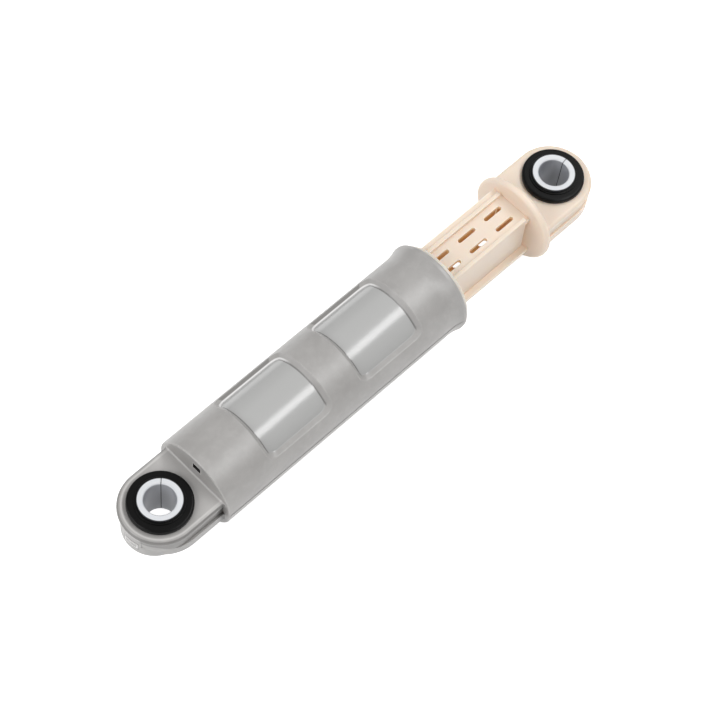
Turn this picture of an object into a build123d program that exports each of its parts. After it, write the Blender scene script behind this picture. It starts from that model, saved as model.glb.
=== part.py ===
"""Washing machine shock absorber: a moulded rod slides in a moulded barrel against a friction
lining, and each end has an eye with a rubber bush and a split sleeve for a bolt.

The origin is the centre of the barrel's eye, +X runs along the damper to the rod's eye, and
+Z is the axis of both bolts. All lengths are in millimetres.
"""
import os
from math import hypot, sqrt

from build123d import *

# Bolt to bolt, as the damper lies
eye_to_eye = 233.0

# Split sleeves
sleeve_bore_r = 6.75
sleeve_wall = 2.8
sleeve_length = 24.0
sleeve_slit = 0.35
sleeve_chamfer = 0.5
barrel_slit_angle = 45.0
rod_slit_angle = 7.5

# Rubber bushes
bush_wall = 2.45
flange_r = 13.9
flange_height = 2.6
flange_round = 1.1
flange_foot_round = 0.6
bush_lip_wall = 1.1
bush_lip_height = 0.5
bush_lip_round = 0.2

# Eyes: a flat tongue with a round nose and, along its rim, a groove between two lips
ear_half_height = 7.8
ear_to_barrel_side = 3.3
ear_upper_lip = 1.9
ear_lower_lip = 6.2
ear_lip_round = 1.7
ear_groove = 1.0
ear_root_round = 1.0

# Only the barrel's eye has its lower lip set back, with a pad at the nose where the mould was filled
barrel_lip_set_back = 2.4
gate_pad_recess = 0.6
gate_pad_shift = 2.9
gate_pad_width = 17.0
gate_pad_y = 2.5
gate_mark_length = 6.5
gate_mark_height = 3.0
gate_mark_y = -1.3
gate_mark_z = -2.0
gate_mark_proud = 0.3

# Barrel
barrel_end_x = 19.0
barrel_length = 138.0
barrel_r = 20.9
end_wall = 3.0
end_edge = 0.6
rim_flare = 1.2
rim_length = 2.0
flare_length = 6.5
rim_edge = 0.8
seam_width = 0.5
seam_height = 0.15

# Windows: thin places in the barrel's wall, two above and two below
window_to_end = 43.2
window_pitch = 52.9
window_length = 36.8
window_depth = 2.2
window_wall = 1.5
window_slope = 2.0
window_shelf_drop = 9.9
window_corner = 6.5
window_edge = 0.5

# Vent in the barrel's end wall
vent_width = 4.5
vent_height = 3.8
vent_y = -0.8
vent_to_bore = 2.3

# Guide ring, snapped into the barrel's mouth
ring_seat_depth = 7.2
ring_seat_step = 2.0
ring_proud = 2.3
ring_collar_inset = 2.1
ring_collar_round = 0.9
ring_gap = 0.1
ring_end_gap = 0.2
snap_height = 0.5
snap_length = 2.0
snap_from_end = 1.2

# Rod: a hollow beam of two plates and two webs, a disc, and a piston on the inner end
disc_to_eye = 22.0
disc_thickness = 3.5
disc_overhang = 0.1
disc_round = 1.5
disc_root_round = 0.5
web_outer_y = 9.3
web_wall = 1.9
web_to_bore = 0.8
plate_outer_z = 11.5
plate_wall = 2.0
flange_to_bore = 0.4
rail_round = 0.4
web_gap_long = 2.6
web_gap_short = 1.2
beam_floor = 1.5

# Slots in the beam's plates, two rows
slot_pitch = 16.35
slot_length = 10.4
slot_width = 2.0
slot_row_y = 3.55
slot_to_disc = 10.0

# Piston and the lining wrapped round it
lining_length = 22.0
lining_thickness = 2.9
lining_gap = 0.1
lining_joint = 1.0
collar_thickness = 3.0
collar_gap = 0.3
collar_edge = 0.6

# Travel from the place in which the damper lies
travel_out = 45.0
guide_gap = 0.3

# Radii and places that follow from the sizes above
sleeve_r = sleeve_bore_r + sleeve_wall
ear_half_width = barrel_r - ear_to_barrel_side
eye_hole_r = sleeve_r + bush_wall
ear_ledge_z = ear_lower_lip - ear_half_height
gate_pad_r = ear_half_width - gate_pad_recess - gate_pad_shift
flange_top = ear_half_height + flange_height
mouth_x = barrel_end_x + barrel_length
rim_r = barrel_r + rim_flare
window_floor_r = barrel_r - window_depth
bore_r = window_floor_r - window_wall
chamber_x = barrel_end_x + end_wall
vent_z = bore_r - vent_to_bore
seat_r = bore_r + ring_seat_step
ring_collar_r = rim_r - ring_collar_inset
seat_x = mouth_x - ring_seat_depth
ring_inner_x = seat_x + ring_end_gap
snap_x = ring_inner_x + snap_from_end
window_centres = (
    barrel_end_x + window_to_end,
    barrel_end_x + window_to_end + window_pitch,
)
disc_r = barrel_r + disc_overhang
disc_back_x = eye_to_eye - disc_to_eye
disc_front_x = disc_back_x - disc_thickness
plate_inner_z = plate_outer_z - plate_wall
web_inner_y = web_outer_y - web_wall
web_half_height = sqrt((bore_r - web_to_bore) ** 2 - web_outer_y ** 2)
flange_reach = sqrt((bore_r - flange_to_bore) ** 2 - plate_outer_z ** 2)
piston_front_x = ring_inner_x - travel_out - ring_end_gap
piston_length = lining_length + 2 * collar_thickness
slot_room = disc_front_x - slot_to_disc - slot_length / 2 - piston_front_x
slot_count = int(slot_room / slot_pitch) + 1
piston_end_x = piston_front_x - piston_length
lining_r = bore_r - lining_gap
core_r = lining_r - lining_thickness
collar_r = bore_r - collar_gap


def tongue(width, low_z, high_z, centre_x, root_x, set_back=0.0):
    """A flat tongue with a round nose that points away from its root."""
    side = 1 if centre_x > root_x else -1
    nose_x = centre_x - side * set_back
    with BuildSketch(Plane.XY.offset(low_z)) as outline:
        with BuildLine():
            Line((root_x, width), (nose_x, width))
            ThreePointArc((nose_x, width), (nose_x + side * width, 0), (nose_x, -width))
            Line((nose_x, -width), (root_x, -width))
            Line((root_x, -width), (root_x, width))
        make_face()
    extrude(outline.sketch, amount=high_z - low_z)


def eye_tongue(centre_x, root_x, set_back=0.0):
    """A thin lip above the groove and a thick one below it, which may be set back."""
    upper_lip_z = ear_half_height - ear_upper_lip
    tongue(ear_half_width - ear_groove, ear_ledge_z, upper_lip_z, centre_x, root_x)
    tongue(ear_half_width, upper_lip_z, ear_half_height, centre_x, root_x)
    tongue(ear_half_width, -ear_half_height, ear_ledge_z, centre_x, root_x, set_back)


def lip_edges(part, root_x):
    """The outer edges of both lips, apart from the straight one at the root."""
    faces = part.faces().sort_by(Axis.Z)
    rims = ShapeList(faces[0].edges() + faces[-1].edges())
    return rims.filter_by(lambda edge: abs((edge @ 0.5).X - root_x) > ear_upper_lip)


def root_edges(part, face_x):
    """The edges in which the flat top and bottom of an eye meet the face that carries it."""
    on_face = part.edges().filter_by_position(Axis.X, face_x - 0.01, face_x + 0.01)
    return on_face.filter_by(lambda edge: abs(abs((edge @ 0.5).Z) - ear_half_height) < 0.01)


def eye_hole(centre_x):
    """The hole through an eye that holds the rubber bush."""
    with Locations((centre_x, 0, ear_half_height)):
        Hole(eye_hole_r, depth=2 * ear_half_height)


def on_radius(edge, radius):
    """Whether an edge lies on the cylinder of this radius round the damper's axis."""
    points = (edge @ 0, edge @ 0.5, edge @ 1)
    return all(abs(hypot(point.Y, point.Z) - radius) < 0.01 for point in points)


# The space that one window takes out of the barrel's wall, centred on x = 0
with BuildPart() as window_space:
    outside_r = barrel_r + window_depth
    floor_half = window_length / 2 - window_slope
    outside_half = window_length / 2 + window_slope
    with BuildSketch(Plane.XZ):
        with BuildLine():
            Polyline(
                (-floor_half, window_floor_r),
                (floor_half, window_floor_r),
                (outside_half, outside_r),
                (-outside_half, outside_r),
                close=True,
            )
        make_face()
    revolve(axis=Axis.X)
    split(bisect_by=Plane.XY.offset(barrel_r - window_shelf_drop))
    shelf = window_space.faces().filter_by(Axis.Z).sort_by(Axis.Z)[0:2]
    corners = shelf.edges().filter_by(lambda edge: abs((edge @ 0.5).X) > floor_half)
    fillet(corners, window_corner)

# Barrel with its eye
with BuildPart() as barrel:
    root_x = barrel_end_x + end_wall / 2
    eye_tongue(0, root_x, barrel_lip_set_back)
    fillet(lip_edges(barrel, root_x), ear_lip_round)

    # The gate pad: a round bump on the lower lip, and over it a block that fills part of the groove
    with BuildSketch(Plane.XY.offset(-ear_half_height)):
        with Locations((-gate_pad_shift, 0)):
            Circle(gate_pad_r)
    extrude(amount=ear_lower_lip)
    with BuildSketch(Plane.XY.offset(ear_ledge_z)):
        with Locations((-gate_pad_shift, 0)):
            Circle(gate_pad_r)
        with Locations((-ear_half_width, gate_pad_y)):
            Rectangle(2 * ear_half_width, gate_pad_width, mode=Mode.INTERSECT)
    extrude(amount=2 * ear_half_height - ear_lower_lip - ear_upper_lip / 2)
    with BuildSketch(Plane.XY.offset(gate_mark_z - gate_mark_height / 2)):
        with Locations((-gate_pad_shift, 0)):
            Circle(gate_pad_r + gate_mark_proud)
        with Locations((-ear_half_width, gate_mark_y)):
            Rectangle(ear_half_width, gate_mark_length, mode=Mode.INTERSECT)
    extrude(amount=gate_mark_height)

    # The tube, with a flared mouth and a stepped seat for the guide ring
    with BuildSketch(Plane.XZ):
        with BuildLine():
            flare_end_x = mouth_x - rim_length
            flare_x = flare_end_x - flare_length
            groove_r = seat_r + snap_height
            groove_low_x = snap_x - ring_end_gap
            groove_high_x = snap_x + snap_length + ring_end_gap
            wall = FilletPolyline(
                (barrel_end_x, 0), (barrel_end_x, barrel_r), (flare_x, barrel_r), radius=end_edge
            )
            flare = TangentArc(wall @ 1, (flare_end_x, rim_r), tangent=wall % 1)
            rim = FilletPolyline(
                flare @ 1, (mouth_x, rim_r), (mouth_x, seat_r), radius=rim_edge
            )
            Polyline(
                rim @ 1,
                (groove_high_x, seat_r),
                (groove_high_x, groove_r),
                (groove_low_x, groove_r),
                (groove_low_x, seat_r),
                (seat_x, seat_r),
                (seat_x, bore_r),
                (chamber_x, bore_r),
                (chamber_x, 0),
                wall @ 0,
            )
        make_face()
    revolve(axis=Axis.X)

    for window_x in window_centres:
        with Locations((window_x, 0, 0)):
            add(window_space.part, mode=Mode.SUBTRACT)
            add(window_space.part, rotation=(180, 0, 0), mode=Mode.SUBTRACT)
        window_rims = barrel.edges().filter_by(
            lambda edge: on_radius(edge, barrel_r) and edge.geom_type != GeomType.LINE
            and abs((edge @ 0.5).X - window_x) < window_length / 2 + window_edge
        )
        fillet(window_rims, window_edge)

    # The mould's parting line stands a little proud on both sides and fades into the rim
    with BuildSketch(Plane.XY):
        with BuildLine():
            seam_start_x = barrel_end_x + end_edge
            seam_root_y = barrel_r - seam_width
            ridge = Polyline(
                (seam_start_x, seam_root_y),
                (seam_start_x, barrel_r + seam_height),
                (flare_x, barrel_r + seam_height),
            )
            rise = TangentArc(ridge @ 1, (flare_end_x, rim_r), tangent=ridge % 1)
            Polyline(rise @ 1, (flare_end_x, seam_root_y), ridge @ 0)
        make_face()
        mirror(about=Plane.XZ)
    extrude(amount=seam_width / 2, both=True)

    fillet(root_edges(barrel, barrel_end_x), ear_root_round)
    eye_hole(0)
    with BuildSketch(Plane.YZ.offset(barrel_end_x)):
        with Locations((vent_y, vent_z)):
            Rectangle(vent_width, vent_height)
    extrude(amount=end_wall, mode=Mode.SUBTRACT)
barrel.part.label = "barrel"


def beam_outline():
    """The outer outline of the rod's beam, which a half turn lays on itself."""
    with GridLocations(2 * web_outer_y - web_wall, 0, 2, 1):
        RectangleRounded(web_wall, 2 * web_half_height, rail_round)
    Rectangle(2 * web_outer_y, 2 * plate_outer_z)
    for turn in (1, -1):
        with Locations((turn * flange_reach / 2, turn * (plate_outer_z - plate_wall / 2))):
            Rectangle(flange_reach, plate_wall)


# Rod with its eye, disc, beam and piston
with BuildPart() as rod:
    root_x = disc_front_x + disc_thickness / 2
    eye_tongue(eye_to_eye, root_x)
    fillet(lip_edges(rod, root_x), ear_lip_round)
    with BuildSketch(Plane.YZ.offset(disc_front_x)):
        Circle(disc_r)
    extrude(amount=disc_thickness)
    disc_rims = rod.edges().filter_by(lambda edge: on_radius(edge, disc_r))
    fillet(disc_rims.filter_by(GeomType.CIRCLE), disc_round)

    with BuildSketch(Plane.YZ.offset(piston_front_x - collar_thickness)):
        beam_outline()
    extrude(amount=disc_front_x - piston_front_x + collar_thickness)

    with BuildSketch(Plane.YZ.offset(piston_end_x)):
        Circle(core_r)
    extrude(amount=piston_length)
    for collar_x in (piston_end_x, piston_front_x - collar_thickness):
        with BuildSketch(Plane.YZ.offset(collar_x)):
            Circle(collar_r)
        extrude(amount=collar_thickness)
    collar_rims = rod.edges().filter_by(lambda edge: on_radius(edge, collar_r))
    chamfer(collar_rims.filter_by(GeomType.CIRCLE).sort_by(Axis.X)[0], collar_edge)

    # The beam is hollow and open at the piston's end
    with BuildSketch(Plane.YZ.offset(piston_end_x)):
        Rectangle(2 * web_inner_y, 2 * plate_inner_z)
    extrude(amount=disc_front_x - beam_floor - piston_end_x, mode=Mode.SUBTRACT)

    with BuildSketch(Plane.XY):
        middle_x = disc_front_x - slot_to_disc - slot_pitch * (slot_count - 1) / 2
        with Locations((middle_x, 0)):
            with GridLocations(slot_pitch, 2 * slot_row_y, slot_count, 2):
                SlotOverall(slot_length, slot_width)
    extrude(amount=plate_outer_z, both=True, mode=Mode.SUBTRACT)

    # Each web stops short of the disc with a slanted end, and only the plates reach it
    for turn in (1, -1):
        with BuildSketch(Plane.XZ.offset(turn * web_inner_y)) as web_end:
            with BuildLine():
                Polyline(
                    (disc_front_x, turn * web_half_height),
                    (disc_front_x - web_gap_long, turn * web_half_height),
                    (disc_front_x - web_gap_short, -turn * web_half_height),
                    (disc_front_x, -turn * web_half_height),
                    close=True,
                )
            make_face()
            with Locations((disc_front_x, 0)):
                with GridLocations(0, plate_inner_z + plate_outer_z, 1, 2):
                    Rectangle(2 * web_gap_long, plate_wall, mode=Mode.SUBTRACT)
        extrude(amount=turn * web_wall, mode=Mode.SUBTRACT)

    fillet(root_edges(rod, disc_back_x), disc_root_round)
    eye_hole(eye_to_eye)
rod.part.label = "rod"

# Guide ring: its opening follows the beam
with BuildPart() as guide_ring:
    with BuildSketch(Plane.XZ):
        with BuildLine():
            ring_r = seat_r - ring_gap
            snap_r = ring_r + snap_height
            collar_x = mouth_x + ring_end_gap
            Polyline(
                (ring_inner_x, 0),
                (ring_inner_x, ring_r),
                (snap_x, ring_r),
                (snap_x + snap_length / 2, snap_r),
                (snap_x + snap_length, snap_r),
                (snap_x + snap_length, ring_r),
                (collar_x, ring_r),
                (collar_x, ring_collar_r),
                (mouth_x + ring_proud, ring_collar_r),
                (mouth_x + ring_proud, 0),
                close=True,
            )
        make_face()
    revolve(axis=Axis.X)
    front_rim = guide_ring.edges().filter_by(GeomType.CIRCLE).sort_by(Axis.X)[-1]
    fillet(front_rim, ring_collar_round)
    with BuildSketch(Plane.YZ.offset(ring_inner_x)):
        beam_outline()
        offset(amount=guide_gap, kind=Kind.INTERSECTION)
    extrude(amount=ring_seat_depth + ring_proud, mode=Mode.SUBTRACT)
guide_ring.part.label = "guide_ring"

# Friction lining: a strip wrapped round the piston, its ends a little apart
with BuildPart() as friction_lining:
    with BuildSketch(Plane.YZ.offset(piston_end_x + collar_thickness)):
        Circle(lining_r)
        Circle(core_r, mode=Mode.SUBTRACT)
        with Locations((0, -bore_r)):
            Rectangle(lining_joint, 2 * (bore_r - core_r) + lining_thickness, mode=Mode.SUBTRACT)
    extrude(amount=lining_length)
friction_lining.part.label = "friction_lining"


# Rubber bush, made round the origin: a tube with a flange on each side of the eye
with BuildPart() as bush:
    with BuildSketch(Plane.XZ):
        with BuildLine():
            lip_top = flange_top + bush_lip_height
            half = FilletPolyline(
                (sleeve_r, 0),
                (eye_hole_r, 0),
                (eye_hole_r, ear_half_height),
                (flange_r, ear_half_height),
                (flange_r, flange_top),
                (sleeve_r + bush_lip_wall, flange_top),
                (sleeve_r + bush_lip_wall, lip_top),
                (sleeve_r, lip_top),
                radius=(0, 0, flange_foot_round, flange_round, 0, bush_lip_round),
            )
            Line(half @ 1, half @ 0)
        make_face()
    revolve(axis=Axis.Z)
    mirror(about=Plane.XY)

# Split sleeve, made round the origin with its slit towards +X
with BuildPart() as sleeve:
    with BuildSketch(Plane.XY.offset(-sleeve_length / 2)):
        Circle(sleeve_r)
        Circle(sleeve_bore_r, mode=Mode.SUBTRACT)
    extrude(amount=sleeve_length)
    rims = sleeve.edges().filter_by(GeomType.CIRCLE)
    chamfer(rims.group_by(SortBy.RADIUS)[0], sleeve_chamfer)
    with BuildSketch(Plane.XY.offset(-sleeve_length / 2)):
        with Locations((sleeve_bore_r + sleeve_wall / 2, 0)):
            Rectangle(2 * sleeve_wall, sleeve_slit)
    extrude(amount=sleeve_length, mode=Mode.SUBTRACT)

rod_eye = Pos(eye_to_eye, 0, 0)
barrel_bush = bush.part.moved(Pos(0, 0, 0))
rod_bush = bush.part.moved(rod_eye)
barrel_sleeve = sleeve.part.moved(Rot(0, 0, barrel_slit_angle))
rod_sleeve = sleeve.part.moved(rod_eye * Rot(0, 0, rod_slit_angle))
barrel_bush.label = "barrel_bush"
rod_bush.label = "rod_bush"
barrel_sleeve.label = "barrel_sleeve"
rod_sleeve.label = "rod_sleeve"

os.makedirs("parts", exist_ok=True)
export_step(barrel.part, "parts/barrel.step")
export_step(rod.part, "parts/rod.step")
export_step(guide_ring.part, "parts/guide_ring.step")
export_step(friction_lining.part, "parts/friction_lining.step")
export_step(barrel_bush, "parts/barrel_bush.step")
export_step(rod_bush, "parts/rod_bush.step")
export_step(barrel_sleeve, "parts/barrel_sleeve.step")
export_step(rod_sleeve, "parts/rod_sleeve.step")
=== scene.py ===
"""The looks of a washing machine shock absorber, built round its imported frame. Units are metres."""
import math
from functools import cached_property

import bpy
from mathutils import Matrix, Vector


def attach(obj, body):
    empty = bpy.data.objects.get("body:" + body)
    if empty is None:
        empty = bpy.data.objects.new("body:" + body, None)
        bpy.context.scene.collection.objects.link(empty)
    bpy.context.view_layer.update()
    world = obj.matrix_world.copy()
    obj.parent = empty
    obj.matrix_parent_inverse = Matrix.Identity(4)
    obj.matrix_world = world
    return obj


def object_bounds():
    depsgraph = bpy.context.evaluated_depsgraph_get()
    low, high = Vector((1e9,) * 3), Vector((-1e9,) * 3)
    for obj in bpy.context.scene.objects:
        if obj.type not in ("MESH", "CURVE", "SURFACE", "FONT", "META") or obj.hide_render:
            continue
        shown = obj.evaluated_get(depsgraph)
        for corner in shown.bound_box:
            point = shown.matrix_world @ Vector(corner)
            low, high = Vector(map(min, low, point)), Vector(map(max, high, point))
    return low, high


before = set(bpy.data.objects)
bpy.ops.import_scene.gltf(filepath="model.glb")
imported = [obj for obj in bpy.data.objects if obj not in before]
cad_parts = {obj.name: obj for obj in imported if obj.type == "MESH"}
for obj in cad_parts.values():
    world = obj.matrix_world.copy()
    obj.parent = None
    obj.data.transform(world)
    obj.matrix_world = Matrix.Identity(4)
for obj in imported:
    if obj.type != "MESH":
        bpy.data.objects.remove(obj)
cad_low, cad_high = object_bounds()
MM = 0.001

# The camera looks at a point near the damper's axis
CAMERA_AIM = Vector((109.16, 0.63, 0.0)) * MM
CAMERA_DISTANCE = 920.2 * MM
CAMERA_AZIMUTH = math.radians(-51.978)
CAMERA_ELEVATION = math.radians(61.2225)
CAMERA_ROLL = math.radians(8.4857)
CAMERA_LENS = 111.397
SENSOR_WIDTH = 36.0
CLIP_START = 0.05
CLIP_END = 20.0

# Soft boxes: angles in degrees, distance, width and height in metres, and power in watts
LIGHTS = {
    "strip": dict(azimuth=49.8, elevation=60.2, distance=1.2, size=(1.6, 0.26), power=9.6),
    "key": dict(azimuth=125.0, elevation=55.0, distance=1.6, size=(1.4, 1.4), power=1.6),
    "fill": dict(azimuth=-108.0, elevation=35.0, distance=1.6, size=(1.4, 1.0), power=13.6),
}
WORLD_LIGHT = 0.36

# The floor lies just under the damper
FLOOR_HALF = 6.0
FLOOR_GAP = 0.2 * MM
FLOOR_WHITE = (0.8, 0.8, 0.8, 1.0)
FLOOR_GLOW = 0.75

# A FROM pair holds the place where a mask begins, and the place where it is whole. A FADE pair
# holds two distances from a mask's middle: where it begins to fade, and where it is gone.

# The barrel's windows, two above and two below
WINDOWS_MIDDLE_X = 88.65 * MM
WINDOWS_HALF_SPAN = 46.0 * MM
WINDOW_PITCH = 52.9 * MM
WINDOW_FLOOR_HALF = 16.4 * MM
WINDOW_FLOOR_R = 18.7 * MM
WINDOW_WALL_FROM_R = (WINDOW_FLOOR_R + 0.2 * MM, WINDOW_FLOOR_R + 0.5 * MM)
WINDOW_END_FADE = (0.15 * MM, 0.5 * MM)
WINDOW_END_TOP_R = WINDOW_FLOOR_R + 0.7 * MM
SHELF_Z = 11.0 * MM
SHELF_FADE = (0.05 * MM, 0.1 * MM)
SHELF_FROM_Y = (15.7 * MM, 16.0 * MM)
SHELF_CORNER_FADE = (0.5 * MM, 0.9 * MM)
SHELF_LINE_R = WINDOW_FLOOR_R + 0.45 * MM
SHELF_LINE_FADE = (0.2 * MM, 0.4 * MM)
SHELF_LINE_FROM_Y = (7.0 * MM, 13.0 * MM)

# The barrel's eye
EYE_END_X = 18.9 * MM
EYE_NOSE_X = -16.5 * MM
EYE_HALF_WIDTH = 17.6 * MM
EYE_TOP_Z = 7.5 * MM
PALE_TOP_FROM_X = (4.0 * MM, 15.0 * MM)
RIM_LINE_INSET = 1.9 * MM
RIM_LINE_FADE = (0.1 * MM, 0.7 * MM)
TOP_ROUND_Z = 6.6 * MM
TOP_ROUND_FADE = (0.8 * MM, 1.1 * MM)
HOLLOW_Z = 2.15 * MM
HOLLOW_FADE = (3.7 * MM, 3.8 * MM)
HOLLOW_FROM_INSET = (0.7 * MM, 0.9 * MM)
LEDGE_Z = -1.6 * MM
NOSE_LESS_SHADE_FROM_X = (-5.0 * MM, -13.0 * MM)
NOSE_LESS_SHADE_HEIGHT = 3.2 * MM

# The small raised block at the eye's nose
BLOCK_BACK_X = -16.0 * MM
BLOCK_Y = -1.3 * MM
BLOCK_Z = -2.0 * MM
BLOCK_HALF_WIDTH = 3.25 * MM
BLOCK_HALF_HEIGHT = 1.5 * MM
BLOCK_DARK_BEYOND = 0.6 * MM
BLOCK_DARK_FADE = (0.6 * MM, 1.1 * MM)
BLOCK_RIM_BEYOND = -0.1 * MM
BLOCK_RIM_FADE = (0.12 * MM, 0.34 * MM)

# The barrel's end wall with its vent, and the parting line
END_CORNER_FROM_X = (14.5 * MM, 18.6 * MM)
END_CORNER_FROM_Y = (14.5 * MM, 17.0 * MM)
END_CORNER_TOP_Z = 7.0 * MM
VENT_CENTRE = (20.6 * MM, -0.8 * MM, 14.9 * MM)
VENT_HALF = (1.5 * MM, 2.3 * MM, 2.0 * MM)
SEAM_FADE = (0.6 * MM, 1.6 * MM)
SEAM_FROM_Z = (0.2 * MM, 0.4 * MM)
SEAM_FROM_R = (20.5 * MM, 20.8 * MM)

# The rod's hollow beam
BEAM_END_X = 206.2 * MM
BEAM_WALL_FROM_Y = (7.42 * MM, 7.6 * MM)
BEAM_WALL_FROM_Z = (10.2 * MM, 11.4 * MM)
BETWEEN_PLATES_Z = 9.6 * MM

# The sleeves and the rubber dust in their slits
EYE_TO_EYE = 233.0 * MM
SLEEVE_END_FROM_R = (6.78 * MM, 6.95 * MM)
SLEEVE_RIM_FROM_R = (9.2 * MM, 9.4 * MM)
BARREL_SLIT_ANGLE = math.radians(45.0)
ROD_SLIT_ANGLE = math.radians(7.5)
SLIT_RUBBER_R = (6.9 * MM, 8.0 * MM)
SLIT_RUBBER_WIDTH = 0.33 * MM
SLIT_RUBBER_Z = 11.6 * MM

# How far painted highlight, painted shade and painted glow reach from edges and corners, and how deep
# grain and light go in
EDGE_SAMPLES = 12
BARREL_EDGE_REACH = 0.5 * MM
BARREL_CORNER_REACH = 0.8 * MM
ROD_EDGE_REACH = 0.8 * MM
SEEPING_REACH = 7.0 * MM
BARREL_GRAIN_DEPTH = 0.08 * MM
FINE_GRAIN_DEPTH = 0.05 * MM
FOAM_DEPTH = 0.2 * MM
ROD_LIGHT_DEPTH = 4.0 * MM
SLEEVE_LIGHT_DEPTH = 2.0 * MM

# Colours as a screen shows them, from 0 to 255
GREY_DARK = (157, 155, 153)
GREY_LIGHT = (165, 163, 161)
GREY_PATCH = (182, 180, 178)
GREY_SPECK = (136, 134, 132)
GREY_WINDOW = (175, 175, 174)
GREY_SHELF_SHADE = (122, 120, 118)
GREY_TOP_PAINTED_LIGHT = (200, 198, 196)
GREY_RIM_HIGHLIGHT = (206, 204, 202)
GREY_EDGE_HIGHLIGHT = (220, 218, 216)
GREY_SHELF_HIGHLIGHT = (232, 231, 230)
GREY_BLOCK_RIM_HIGHLIGHT = (244, 243, 242)
DARKER_ROUND_BLOCK = (128, 126, 124)
DARK_BESIDE_SEAM = (112, 110, 108)
SHADE_INNER = (96, 94, 92)
SHADE_EYE_SIDE = (92, 90, 88)
SHADE_END_CORNER = (66, 64, 62)
SHADE_VENT = (52, 51, 50)
CREAM_LIGHT = (234, 219, 203)
CREAM_DARK = (230, 213, 196)
CREAM_INSIDE_PAINTED_LIGHT = (252, 221, 178)
CREAM_EDGE_HIGHLIGHT = (255, 246, 232)
CREAM_CORNER_SHADE = (222, 180, 138)
CREAM_SEEPING_GLOW = (96, 84, 72)
CREAM_SEEPING_GLOW_INSIDE = (57, 40, 23)
RING_LIGHT = (228, 222, 212)
RING_DARK = (220, 213, 202)
RUBBER_DARK = (4, 4, 4)
RUBBER_LIGHT = (10, 10, 10)
SLEEVE_DARK = (212, 214, 217)
SLEEVE_LIGHT = (220, 222, 225)
SLEEVE_BORE_SHADE = (160, 162, 168)
SLEEVE_RIM_SHADOW = (60, 61, 64)
FOAM_DARK = (46, 44, 40)
FOAM_LIGHT = (92, 88, 80)
BLACK = (0, 0, 0)
WHITE = (255, 255, 255)


def srgb(colour):
    """A colour given as a screen shows it, as the shaders take it."""
    def linear(level):
        level /= 255
        return level / 12.92 if level <= 0.04045 else ((level + 0.055) / 1.055) ** 2.4
    return (*map(linear, colour), 1.0)


def direction(azimuth, elevation):
    """The unit vector from the object towards a place at this azimuth and elevation."""
    flat = math.cos(elevation)
    return Vector((math.sin(azimuth) * flat, -math.cos(azimuth) * flat, math.sin(elevation)))


def make_camera():
    """The photograph's camera: a long lens, seen from above and turned a little about its axis."""
    data = bpy.data.cameras.new("camera")
    data.lens = CAMERA_LENS
    data.sensor_width = SENSOR_WIDTH
    data.clip_start = CLIP_START
    data.clip_end = CLIP_END
    camera = bpy.data.objects.new("camera", data)
    bpy.context.scene.collection.objects.link(camera)
    back = direction(CAMERA_AZIMUTH, CAMERA_ELEVATION)
    turn = (-back).to_track_quat("-Z", "Y").to_matrix() @ Matrix.Rotation(CAMERA_ROLL, 3, "Z")
    camera.matrix_world = Matrix.Translation(CAMERA_AIM + back * CAMERA_DISTANCE) @ turn.to_4x4()
    bpy.context.scene.camera = camera


def area_light(name, azimuth, elevation, distance, size, power):
    """A rectangular soft box that faces the damper; size is its width and height."""
    data = bpy.data.lights.new(name, "AREA")
    data.shape = "RECTANGLE"
    data.size, data.size_y = size
    data.energy = power
    light = bpy.data.objects.new(name, data)
    bpy.context.scene.collection.objects.link(light)
    towards = direction(math.radians(azimuth), math.radians(elevation))
    turn = towards.to_track_quat("Z", "Y").to_matrix()
    light.matrix_world = Matrix.Translation(CAMERA_AIM + towards * distance) @ turn.to_4x4()


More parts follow.
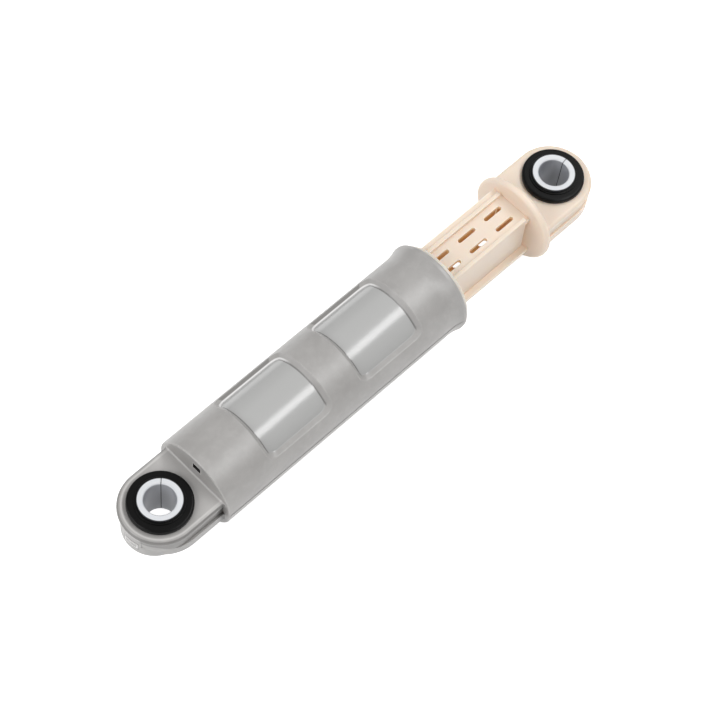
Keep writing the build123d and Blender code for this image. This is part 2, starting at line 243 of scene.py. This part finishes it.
class Nodes:
    """Short ways to add and join the nodes of one material."""

    def __init__(self, name):
        self.material = bpy.data.materials.new(name)
        self.material.use_nodes = True
        self.tree = self.material.node_tree
        self.tree.nodes.clear()
        self.output = self.tree.nodes.new("ShaderNodeOutputMaterial")

    def add(self, kind, inputs=(), **settings):
        """Adds a node, sets its properties, and fills or joins its inputs by name or number."""
        node = self.tree.nodes.new(kind)
        for key, value in settings.items():
            setattr(node, key, value)
        for key, value in dict(inputs).items():
            self.put(node.inputs[key], value)
        return node

    def put(self, socket, value):
        """Joins a socket to another node's output, or sets its value."""
        if isinstance(value, bpy.types.NodeSocket):
            self.tree.links.new(value, socket)
        else:
            socket.default_value = value

    @cached_property
    def place(self):
        """The place on the object, from a node that is added when first asked for."""
        return self.add("ShaderNodeTexCoord").outputs["Object"]

    @cached_property
    def axes(self):
        """The place on the object, taken apart."""
        return self.add("ShaderNodeSeparateXYZ", {0: self.place}).outputs

    x = property(lambda self: self.axes["X"])
    y = property(lambda self: self.axes["Y"])
    z = property(lambda self: self.axes["Z"])

    def maths(self, operation, first, second=0.0):
        """One step of arithmetic on outputs or numbers."""
        return self.add("ShaderNodeMath", {0: first, 1: second}, operation=operation).outputs[0]

    def times(self, first, *others):
        """The product of masks or numbers."""
        for other in others:
            first = self.maths("MULTIPLY", first, other)
        return first

    def opposite(self, mask):
        """1 where the mask is 0, and 0 where it is 1."""
        return self.maths("SUBTRACT", 1.0, mask)

    def above(self, value, limit):
        """1 above the limit, and 0 below it."""
        return self.maths("GREATER_THAN", value, limit)

    def below(self, value, limit):
        """1 below the limit, and 0 above it."""
        return self.maths("LESS_THAN", value, limit)

    def away(self, value, middle=0.0):
        """How far a value is from a middle one, to either side."""
        return self.maths("ABSOLUTE", self.maths("SUBTRACT", value, middle))

    def length(self, first, second):
        """The length of a line that goes this far along two axes."""
        squares = self.maths("ADD", self.times(first, first), self.times(second, second))
        return self.maths("SQRT", squares)

    def ramp(self, value, low, high):
        """0 at low and 1 at high, with a smooth step between."""
        node = self.add(
            "ShaderNodeMapRange",
            {"Value": value, "From Min": low, "From Max": high},
            interpolation_type="SMOOTHSTEP",
        )
        return node.outputs["Result"]

    def band(self, value, middle, core, reach):
        """1 within the core distance of a middle value, and 0 beyond the reach."""
        return self.opposite(self.ramp(self.away(value, middle), core, reach))

    def inside_box(self, centre, half):
        """1 within a box."""
        mask = 1.0
        for value, middle, reach in zip((self.x, self.y, self.z), centre, half):
            mask = self.times(self.below(self.away(value, middle), reach), mask)
        return mask

    def noise(self, scale, detail, roughness):
        """Smooth noise between 0 and 1."""
        node = self.add(
            "ShaderNodeTexNoise",
            {"Vector": self.place, "Scale": scale, "Detail": detail, "Roughness": roughness},
        )
        return node.outputs["Fac"]

    def near_edge(self, reach, low, high, outer):
        """How near the surface is to an outer edge, or else to an inner corner."""
        node = self.add(
            "ShaderNodeAmbientOcclusion",
            {"Distance": reach},
            samples=EDGE_SAMPLES,
            inside=outer,
            only_local=True,
        )
        return self.ramp(self.opposite(node.outputs["AO"]), low, high)

    def blend(self, mask, first, second):
        """A colour between two colours."""
        node = self.add("ShaderNodeMix", data_type="RGBA")
        self.put(node.inputs["Factor"], mask)
        self.put(node.inputs["A"], first)
        self.put(node.inputs["B"], second)
        return node.outputs["Result"]

    def clouded(self, mask, dark, light):
        """Two shades of one colour, mixed by a mask."""
        return self.blend(mask, srgb(dark), srgb(light))

    def tint(self, base, mask, colour, strength=1.0):
        """The base with a colour laid over it where the mask is."""
        return self.blend(self.times(mask, strength), base, srgb(colour))

    def bump(self, height, depth, strength):
        """The surface's normal, tilted by a height."""
        node = self.add(
            "ShaderNodeBump", {"Strength": strength, "Distance": depth, "Height": height}
        )
        return node.outputs["Normal"]

    def rough(self, value, share, least):
        """A roughness that follows a value between 0 and 1."""
        return self.maths("ADD", self.times(value, share), least)

    def principled(self, sockets):
        """Ends the material with one plain shader."""
        return self.finish(self.add("ShaderNodeBsdfPrincipled", sockets).outputs["BSDF"])

    def finish(self, shader):
        """Joins the last shader to the material's output."""
        self.tree.links.new(shader, self.output.inputs["Surface"])
        return self.material


def dress(names, material):
    """Gives CAD nodes their material."""
    for name in names:
        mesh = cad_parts[name].data
        mesh.materials.clear()
        mesh.materials.append(material)


def grey_moulding(nodes):
    """The clouds, pale patches and dark specks in the barrel's plastic."""
    cloud = nodes.ramp(nodes.noise(scale=60.0, detail=5.0, roughness=0.62), 0.3, 0.7)
    patch = nodes.ramp(nodes.noise(scale=260.0, detail=4.0, roughness=0.6), 0.4, 0.75)
    speck = nodes.ramp(nodes.noise(scale=1800.0, detail=2.0, roughness=0.5), 0.6, 0.8)
    base = nodes.clouded(cloud, GREY_DARK, GREY_LIGHT)
    base = nodes.tint(base, patch, GREY_PATCH, 0.25)
    return nodes.tint(base, speck, GREY_SPECK, 0.3)


def windows(nodes, base, in_windows, on_floor):
    """Paler floors with painted shade at their sloped ends, and painted shade on a shelf along one
    side of each.
    """
    base = nodes.tint(base, on_floor, GREY_WINDOW)
    from_middle = nodes.away(nodes.away(nodes.x, WINDOWS_MIDDLE_X), WINDOW_PITCH / 2)
    at_end = nodes.band(from_middle, WINDOW_FLOOR_HALF, *WINDOW_END_FADE)
    low_down = nodes.below(nodes.length(nodes.y, nodes.z), WINDOW_END_TOP_R)
    # Painted shade where each floor meets its sloped ends
    base = nodes.tint(base, nodes.times(in_windows, at_end, low_down), SHADE_INNER, 0.6)
    on_shelf = nodes.band(nodes.z, SHELF_Z, *SHELF_FADE)
    shelf_side = nodes.ramp(nodes.y, *SHELF_FROM_Y)
    # Painted shade on the shelf along one side
    return nodes.tint(base, nodes.times(in_windows, on_shelf, shelf_side), GREY_SHELF_SHADE, 0.9)


def shelf_highlight_line(nodes, base, in_windows):
    """A painted highlight along the inner corner of each window's shelf."""
    line = nodes.band(nodes.length(nodes.y, nodes.z), SHELF_LINE_R, *SHELF_LINE_FADE)
    side = nodes.ramp(nodes.y, *SHELF_LINE_FROM_Y)
    return nodes.tint(base, nodes.times(in_windows, line, side), GREY_SHELF_HIGHLIGHT, 0.85)


def from_eye_rim(nodes):
    """How far in from the eye's outline, which is round in front and straight behind."""
    from_middle = nodes.length(nodes.maths("MINIMUM", nodes.x, 0.0), nodes.y)
    return nodes.maths("SUBTRACT", EYE_HALF_WIDTH, from_middle)


def eye_top(nodes, base, on_eye):
    """The flat top has a painted highlight along its rim, and painted light that makes it paler
    towards the barrel.
    """
    on_top = nodes.times(on_eye, nodes.above(nodes.z, EYE_TOP_Z))
    rim_line = nodes.band(from_eye_rim(nodes), RIM_LINE_INSET, *RIM_LINE_FADE)
    # Painted highlight along the top's rim
    base = nodes.tint(base, nodes.times(on_top, rim_line), GREY_RIM_HIGHLIGHT, 0.7)
    # Painted light: the top is paler towards the barrel
    pale = nodes.ramp(nodes.x, *PALE_TOP_FROM_X)
    return nodes.tint(base, nodes.times(on_top, pale), GREY_TOP_PAINTED_LIGHT, 0.45)


def eye_side_shade(nodes, base, on_eye):
    """Painted shade in the round under the top and in the hollow side, less of it round the nose."""
    less_shade = nodes.times(nodes.ramp(nodes.x, *NOSE_LESS_SHADE_FROM_X), NOSE_LESS_SHADE_HEIGHT)
    in_hollow = nodes.times(
        nodes.band(nodes.z, HOLLOW_Z, *HOLLOW_FADE),
        nodes.ramp(from_eye_rim(nodes), *HOLLOW_FROM_INSET),
        nodes.above(nodes.maths("SUBTRACT", nodes.z, LEDGE_Z), less_shade),
    )
    in_round = nodes.band(nodes.z, TOP_ROUND_Z, *TOP_ROUND_FADE)
    shaded = nodes.times(on_eye, nodes.maths("MAXIMUM", in_hollow, in_round))
    return nodes.tint(base, shaded, SHADE_EYE_SIDE, 0.6)


def seam_dark_bands(nodes, base):
    """Darker bands along both sides of the parting line."""
    near_seam = nodes.band(nodes.z, 0.0, *SEAM_FADE)
    off_ridge = nodes.ramp(nodes.away(nodes.z), *SEAM_FROM_Z)
    outside = nodes.ramp(nodes.length(nodes.y, nodes.z), *SEAM_FROM_R)
    return nodes.tint(base, nodes.times(near_seam, outside, off_ridge), DARK_BESIDE_SEAM, 0.6)


def edge_highlight_and_corner_shade(nodes, base, on_eye, on_floor):
    """Painted highlights on outer edges and painted shade in inner corners, both weaker on the eye
    behind its nose.
    """
    behind_nose = nodes.times(on_eye, nodes.above(nodes.x, EYE_NOSE_X))
    weaker = nodes.opposite(nodes.times(behind_nose, 0.75))
    # Painted highlights on outer edges
    outer = nodes.near_edge(BARREL_EDGE_REACH, low=0.02, high=0.25, outer=True)
    base = nodes.tint(base, nodes.times(outer, weaker), GREY_EDGE_HIGHLIGHT, 0.8)
    # Painted shade in inner corners
    inner = nodes.near_edge(BARREL_CORNER_REACH, low=0.05, high=0.4, outer=False)
    at_shelf = nodes.band(nodes.away(nodes.z), SHELF_Z, *SHELF_CORNER_FADE)
    off_shelf = nodes.opposite(nodes.times(on_floor, at_shelf))
    return nodes.tint(base, nodes.times(inner, weaker, off_shelf), SHADE_INNER, 0.8)


def block_at_nose(nodes, base):
    """The small raised block at the eye's nose has a painted highlight along its rim and a darker
    band round it.
    """
    across = nodes.maths("SUBTRACT", nodes.away(nodes.y, BLOCK_Y), BLOCK_HALF_WIDTH)
    upright = nodes.maths("SUBTRACT", nodes.away(nodes.z, BLOCK_Z), BLOCK_HALF_HEIGHT)
    beyond = nodes.maths("MAXIMUM", across, upright)
    at_nose = nodes.below(nodes.x, BLOCK_BACK_X)
    # A darker band round the block
    around = nodes.band(beyond, BLOCK_DARK_BEYOND, *BLOCK_DARK_FADE)
    base = nodes.tint(base, nodes.times(around, at_nose), DARKER_ROUND_BLOCK, 0.5)
    # Painted highlight along the block's rim
    rim = nodes.band(beyond, BLOCK_RIM_BEYOND, *BLOCK_RIM_FADE)
    return nodes.tint(base, nodes.times(rim, at_nose), GREY_BLOCK_RIM_HIGHLIGHT, 0.9)


def end_wall_shade(nodes, base, on_eye):
    """Painted shade in the corners where the eye's sides meet the barrel's end, and in the vent."""
    corner = nodes.times(
        on_eye,
        nodes.ramp(nodes.x, *END_CORNER_FROM_X),
        nodes.ramp(nodes.away(nodes.y), *END_CORNER_FROM_Y),
        nodes.below(nodes.z, END_CORNER_TOP_Z),
    )
    base = nodes.tint(base, corner, SHADE_END_CORNER, 0.85)
    return nodes.tint(base, nodes.inside_box(VENT_CENTRE, VENT_HALF), SHADE_VENT)


def barrel_plastic():
    """Grey moulded plastic: a fine satin texture outside, and smooth gloss in the windows."""
    nodes = Nodes("barrel_plastic")
    on_eye = nodes.below(nodes.x, EYE_END_X)
    in_windows = nodes.below(nodes.away(nodes.x, WINDOWS_MIDDLE_X), WINDOWS_HALF_SPAN)
    on_wall = nodes.ramp(nodes.length(nodes.y, nodes.z), *WINDOW_WALL_FROM_R)
    on_floor = nodes.times(in_windows, nodes.opposite(on_wall))
    satin = nodes.opposite(on_floor)
    base = grey_moulding(nodes)
    base = windows(nodes, base, in_windows, on_floor)
    base = eye_top(nodes, base, on_eye)
    base = eye_side_shade(nodes, base, on_eye)
    base = seam_dark_bands(nodes, base)
    base = edge_highlight_and_corner_shade(nodes, base, on_eye, on_floor)
    base = shelf_highlight_line(nodes, base, in_windows)
    base = block_at_nose(nodes, base)
    base = end_wall_shade(nodes, base, on_eye)
    grain = nodes.noise(scale=900.0, detail=3.0, roughness=0.6)
    return nodes.principled(
        {
            "Base Color": base,
            "Roughness": nodes.rough(satin, share=0.2, least=0.18),
            "IOR": 1.6,
            "Normal": nodes.bump(grain, BARREL_GRAIN_DEPTH, nodes.times(satin, 0.45)),
        }
    )


def inside_beam(nodes):
    """1 inside the rod's hollow beam, between its side walls and its outer faces."""
    return nodes.times(
        nodes.opposite(nodes.ramp(nodes.away(nodes.z), *BEAM_WALL_FROM_Z)),
        nodes.opposite(nodes.ramp(nodes.away(nodes.y), *BEAM_WALL_FROM_Y)),
        nodes.below(nodes.x, BEAM_END_X),
    )


def painted_seeping_glow(nodes, inside):
    """A painted glow, given as emission, for light that comes through thin walls into deep corners
    and between the beam's plates.
    """
    deep = nodes.near_edge(SEEPING_REACH, low=0.25, high=0.95, outer=False)
    between_plates = nodes.times(inside, nodes.below(nodes.away(nodes.z), BETWEEN_PLATES_Z))
    glow = nodes.tint(srgb(BLACK), deep, CREAM_SEEPING_GLOW)
    return nodes.tint(glow, between_plates, CREAM_SEEPING_GLOW_INSIDE)


def cream_plastic(name, dark, light):
    """Cream moulded plastic that light goes a little way into, with painted light inside the beam,
    painted highlights on outer edges, painted shade in inner corners and a painted glow in deep
    places.
    """
    nodes = Nodes(name)
    inside = inside_beam(nodes)
    cloud = nodes.noise(scale=40.0, detail=4.0, roughness=0.6)
    grain = nodes.noise(scale=700.0, detail=3.0, roughness=0.6)
    base = nodes.clouded(cloud, dark, light)
    # Painted warm light inside the beam, for light through its thin walls
    base = nodes.tint(base, inside, CREAM_INSIDE_PAINTED_LIGHT)
    # Painted highlights on outer edges
    outer = nodes.near_edge(ROD_EDGE_REACH, low=0.12, high=0.5, outer=True)
    base = nodes.tint(base, outer, CREAM_EDGE_HIGHLIGHT, 0.5)
    # Painted shade in inner corners
    inner = nodes.near_edge(ROD_EDGE_REACH, low=0.12, high=0.5, outer=False)
    base = nodes.tint(base, inner, CREAM_CORNER_SHADE, 0.25)
    return nodes.principled(
        {
            "Base Color": base,
            "Roughness": nodes.rough(grain, share=0.12, least=0.34),
            "Normal": nodes.bump(grain, FINE_GRAIN_DEPTH, 0.2),
            "Emission Color": painted_seeping_glow(nodes, inside),
            "Emission Strength": 1.0,
            "Subsurface Weight": 0.4,
            "Subsurface Scale": ROD_LIGHT_DEPTH,
            "Subsurface Radius": (1.0, 0.7, 0.45),
        }
    )


def bush_rubber():
    """Black rubber with a faint sheen."""
    nodes = Nodes("bush_rubber")
    cloud = nodes.noise(scale=140.0, detail=4.0, roughness=0.6)
    grain = nodes.noise(scale=1500.0, detail=2.0, roughness=0.5)
    return nodes.principled(
        {
            "Base Color": nodes.clouded(cloud, RUBBER_DARK, RUBBER_LIGHT),
            "Roughness": nodes.rough(cloud, share=0.2, least=0.26),
            "IOR": 1.27,
            "Normal": nodes.bump(grain, FINE_GRAIN_DEPTH, 0.25),
        }
    )


def sleeve_plastic():
    """Smooth white plastic with a cold tint, with painted shade in its bore and a painted shadow line
    next to the rubber.
    """
    nodes = Nodes("sleeve_plastic")
    cloud = nodes.noise(scale=90.0, detail=3.0, roughness=0.5)
    # Folded halfway between the eyes, X is the distance from the nearer sleeve's axis
    from_axis = nodes.length(nodes.maths("PINGPONG", nodes.x, EYE_TO_EYE / 2), nodes.y)
    in_bore = nodes.opposite(nodes.ramp(from_axis, *SLEEVE_END_FROM_R))
    base = nodes.clouded(cloud, SLEEVE_DARK, SLEEVE_LIGHT)
    # Painted shade in the bore
    base = nodes.tint(base, in_bore, SLEEVE_BORE_SHADE)
    # A painted shadow line where the rubber meets the sleeve
    base = nodes.tint(base, nodes.ramp(from_axis, *SLEEVE_RIM_FROM_R), SLEEVE_RIM_SHADOW)
    return nodes.principled(
        {
            "Base Color": base,
            "Roughness": nodes.rough(cloud, share=0.15, least=0.3),
            "Subsurface Weight": 0.2,
            "Subsurface Scale": SLEEVE_LIGHT_DEPTH,
            "Subsurface Radius": (1.0, 0.9, 0.8),
        }
    )


def lining_foam():
    """Dark open foam soaked with grease."""
    nodes = Nodes("lining_foam")
    cells = nodes.add("ShaderNodeTexVoronoi", {"Vector": nodes.place, "Scale": 1400.0})
    from_cell = cells.outputs["Distance"]
    return nodes.principled(
        {
            "Base Color": nodes.clouded(from_cell, FOAM_DARK, FOAM_LIGHT),
            "Roughness": 0.6,
            "Normal": nodes.bump(from_cell, FOAM_DEPTH, 0.6),
        }
    )


def rubber_in_slit(name, centre_x, angle, body, material):
    """Rubber dust packed into a sleeve's slit, along its bore."""
    low, high = SLIT_RUBBER_R
    corners = [
        (radius, side, height)
        for radius in (low, high)
        for side in (-SLIT_RUBBER_WIDTH / 2, SLIT_RUBBER_WIDTH / 2)
        for height in (-SLIT_RUBBER_Z, SLIT_RUBBER_Z)
    ]
    faces = [(0, 1, 3, 2), (4, 6, 7, 5), (0, 4, 5, 1), (2, 3, 7, 6), (0, 2, 6, 4), (1, 5, 7, 3)]
    mesh = bpy.data.meshes.new(name)
    mesh.from_pydata(corners, [], faces)
    mesh.materials.append(material)
    strip = bpy.data.objects.new(name, mesh)
    bpy.context.scene.collection.objects.link(strip)
    strip.matrix_world = Matrix.Translation((centre_x, 0, 0)) @ Matrix.Rotation(angle, 4, "Z")
    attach(strip, body)


def floor_white():
    """White that stays white to the camera where no shadow falls."""
    nodes = Nodes("floor_white")
    rays = nodes.add("ShaderNodeLightPath").outputs
    seen = nodes.maths("MAXIMUM", rays["Is Camera Ray"], rays["Is Glossy Ray"])
    seen = nodes.maths("MAXIMUM", seen, rays["Is Transmission Ray"])
    plain = nodes.add("ShaderNodeBsdfDiffuse", {"Color": FLOOR_WHITE}).outputs[0]
    glow = nodes.add("ShaderNodeEmission", {"Color": srgb(WHITE), "Strength": FLOOR_GLOW})
    both = nodes.add("ShaderNodeAddShader", {0: plain, 1: glow.outputs[0]}).outputs[0]
    mixed = nodes.add("ShaderNodeMixShader", {0: seen, 1: plain, 2: both}).outputs[0]
    return nodes.finish(mixed)


def make_floor():
    """A plain white floor just under the damper."""
    low = cad_low.z - FLOOR_GAP
    half = FLOOR_HALF
    corners = [(-half, -half, low), (half, -half, low), (half, half, low), (-half, half, low)]
    mesh = bpy.data.meshes.new("floor")
    mesh.from_pydata(corners, [], [(0, 1, 2, 3)])
    mesh.materials.append(floor_white())
    floor = bpy.data.objects.new("floor", mesh)
    bpy.context.scene.collection.objects.link(floor)


def background(tree, strength):
    """White light from the world, with this strength."""
    node = tree.nodes.new("ShaderNodeBackground")
    node.inputs["Color"].default_value = srgb(WHITE)
    node.inputs["Strength"].default_value = strength
    return node.outputs[0]


def make_world():
    """Even pale light from all round, and white to the camera."""
    world = bpy.data.worlds.new("studio")
    world.use_nodes = True
    bpy.context.scene.world = world
    tree = world.node_tree
    tree.nodes.clear()
    output = tree.nodes.new("ShaderNodeOutputWorld")
    rays = tree.nodes.new("ShaderNodeLightPath")
    mix = tree.nodes.new("ShaderNodeMixShader")
    tree.links.new(rays.outputs["Is Camera Ray"], mix.inputs[0])
    tree.links.new(background(tree, WORLD_LIGHT), mix.inputs[1])
    tree.links.new(background(tree, 1.0), mix.inputs[2])
    tree.links.new(mix.outputs[0], output.inputs["Surface"])


def dress_pieces():
    """Gives every CAD node its material, and each slit its rubber dust."""
    dress(["barrel"], barrel_plastic())
    dress(["rod"], cream_plastic("rod_plastic", CREAM_DARK, CREAM_LIGHT))
    dress(["guide_ring"], cream_plastic("ring_plastic", RING_DARK, RING_LIGHT))
    dress(["friction_lining"], lining_foam())
    rubber = bush_rubber()
    dress(["barrel_bush", "rod_bush"], rubber)
    rubber_in_slit("barrel_slit_rubber", 0.0, BARREL_SLIT_ANGLE, "barrel_body", rubber)
    rubber_in_slit("rod_slit_rubber", EYE_TO_EYE, ROD_SLIT_ANGLE, "rod_body", rubber)
    dress(["barrel_sleeve", "rod_sleeve"], sleeve_plastic())


make_camera()
make_world()
make_floor()
for light_name, light_values in LIGHTS.items():
    area_light(light_name, **light_values)
dress_pieces()

bpy.context.scene.view_settings.view_transform = "Standard"
